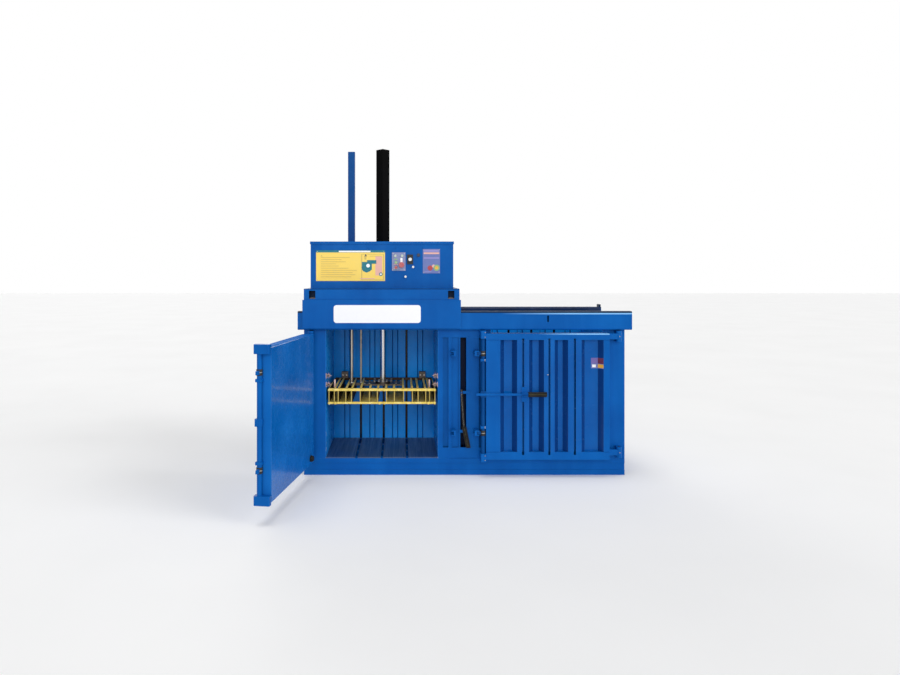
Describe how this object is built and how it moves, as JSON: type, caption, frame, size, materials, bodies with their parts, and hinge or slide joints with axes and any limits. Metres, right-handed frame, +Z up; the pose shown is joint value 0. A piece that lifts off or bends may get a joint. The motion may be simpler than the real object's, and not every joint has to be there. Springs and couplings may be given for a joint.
{
  "type": "recycling baler",
  "caption": "Upright twin-bay baler with strap-slotted bays, hinged front doors with lock rods, and a ram, platen and control cabinet on a rolling press head.",
  "frame": {"origin": "on the floor, at the centre of the four anchor holes and of the base", "axes": "+X along the machine, +Y to its back, +Z up"},
  "size_m": [3.408, 2.348, 3.27],
  "materials": {
    "blue_paint": "semi-gloss blue paint",
    "dark_steel": "worn dark steel",
    "black_paint": "satin black paint",
    "yellow_paint": "yellow paint, worn",
    "bare_steel": "turned steel",
    "chrome": "hard chrome",
    "grip_rubber": "moulded rubber",
    "white_plate": "printed plate",
    "yellow_plate": "printed plate",
    "grey_plastic": "moulded plastic",
    "white_plastic": "gloss",
    "red_plastic": "gloss",
    "green_plastic": "gloss",
    "black_plastic": "gloss",
    "lamp_plastic": "translucent lamp cap",
    "grey_paint": "machine grey paint"
  },
  "bodies": {
    "frame": {"base_frame": "blue_paint", "bay_back_walls": "blue_paint", "bay_fittings": "blue_paint", "bay_floors": "dark_steel", "bay_side_walls": "blue_paint", "cabinet_lid": "blue_paint", "cabinet_walls": "blue_paint", "column_frame": "blue_paint", "control_panel": "grey_plastic", "cylinder_barrel": "black_paint", "cylinder_gland": "bare_steel", "cylinder_guard": "black_paint", "electrical_box": "grey_paint", "front_fittings": "black_plastic", "front_rail": "blue_paint", "guide_plate": "yellow_plate", "guide_sleeve": "blue_paint", "head_beams": "blue_paint", "head_skirts": "blue_paint", "head_tier": "blue_paint", "hinge_pins": "bare_steel", "motor_pump": "grey_paint", "name_plate": "white_plate", "oil_tank": "grey_paint", "panel_lamps": "lamp_plastic", "pier_panels": "blue_paint", "rear_rail": "blue_paint", "rod_bushes": "bare_steel", "roller_axles": "bare_steel", "side_label": "white_plate", "spare_grip": "grip_rubber", "spare_lever": "bare_steel", "valve_block": "bare_steel"},
    "left_door": {"left_door_panel": "blue_paint", "left_door_frame": "blue_paint", "left_door_fittings": "blue_paint"},
    "right_door": {"right_door_panel": "blue_paint", "right_door_frame": "blue_paint", "right_door_fittings": "blue_paint"},
    "left_lock": {"left_lock_rod": "blue_paint"},
    "right_lock": {"right_lock_rod": "blue_paint", "lock_lever": "bare_steel", "lock_grip": "grip_rubber"},
    "platen": {"ram_rod": "chrome", "ram_piston": "bare_steel", "ram_bolts": "bare_steel", "platen_hub": "dark_steel", "platen_frame": "yellow_paint", "platen_fins": "dark_steel", "platen_fittings": "dark_steel", "guide_rods": "bare_steel"},
    "front_left_roller": {"front_left_roller": "bare_steel"},
    "front_right_roller": {"front_right_roller": "bare_steel"},
    "rear_left_roller": {"rear_left_roller": "bare_steel"},
    "rear_right_roller": {"rear_right_roller": "bare_steel"},
    "start_button": {"start_button": "green_plastic"},
    "return_button": {"return_button": "white_plastic"},
    "stop_button": {"stop_button": "red_plastic"},
    "mode_knob": {"mode_knob": "white_plastic"},
    "key_lock": {"key_lock": "black_plastic"}
  },
  "joints": [
    {"name": "left_door_hinge", "type": "hinge", "parent": "frame", "child": "left_door", "pos_m": [-1.5, -0.51, 0.8], "axis": [0, 0, 1], "range_deg": [-20, 98.9]},
    {"name": "right_door_hinge", "type": "hinge", "parent": "frame", "child": "right_door", "pos_m": [1.5, -0.51, 0.8], "axis": [0, 0, 1], "range_deg": [0, 110]},
    {"name": "left_lock_turn", "type": "hinge", "parent": "left_door", "child": "left_lock", "pos_m": [-1.73577, -1.81524, 0.8], "axis": [0, 0, 1], "range_deg": [0, 100]},
    {"name": "right_lock_turn", "type": "hinge", "parent": "right_door", "child": "right_lock", "pos_m": [0.174, -0.541, 0.8], "axis": [0, 0, 1], "range_deg": [-100, 0]},
    {"name": "platen_press", "type": "slide", "parent": "frame", "child": "platen", "axis": [0, 0, 1], "range_m": [-0.4, 0.94]},
    {"name": "start_press", "type": "slide", "parent": "frame", "child": "start_button", "axis": [0, 1, 0], "range_m": [0, 0.004], "stiffness_N_per_m": 600},
    {"name": "return_press", "type": "slide", "parent": "frame", "child": "return_button", "axis": [0, 1, 0], "range_m": [0, 0.004], "stiffness_N_per_m": 600},
    {"name": "stop_press", "type": "slide", "parent": "frame", "child": "stop_button", "axis": [0, 1, 0], "range_m": [0, 0.004], "stiffness_N_per_m": 1200},
    {"name": "mode_turn", "type": "hinge", "parent": "frame", "child": "mode_knob", "pos_m": [-0.532, -0.4313, 2.118], "axis": [0, 1, 0], "range_deg": [-45, 45]},
    {"name": "key_turn", "type": "hinge", "parent": "frame", "child": "key_lock", "pos_m": [-0.449, -0.4173, 2.16], "axis": [0, 1, 0], "range_deg": [0, 90]},
    {"name": "front_left_roll", "type": "hinge", "parent": "frame", "child": "front_left_roller", "pos_m": [-1.486, -0.467, 1.6783], "axis": [0, 1, 0], "continuous": true},
    {"name": "front_right_roll", "type": "hinge", "parent": "frame", "child": "front_right_roller", "pos_m": [-0.134, -0.467, 1.6783], "axis": [0, 1, 0], "continuous": true},
    {"name": "rear_left_roll", "type": "hinge", "parent": "frame", "child": "rear_left_roller", "pos_m": [-1.486, 0.4, 1.6783], "axis": [0, 1, 0], "continuous": true},
    {"name": "rear_right_roll", "type": "hinge", "parent": "frame", "child": "rear_right_roller", "pos_m": [-0.134, 0.4, 1.6783], "axis": [0, 1, 0], "continuous": true}
  ]
}
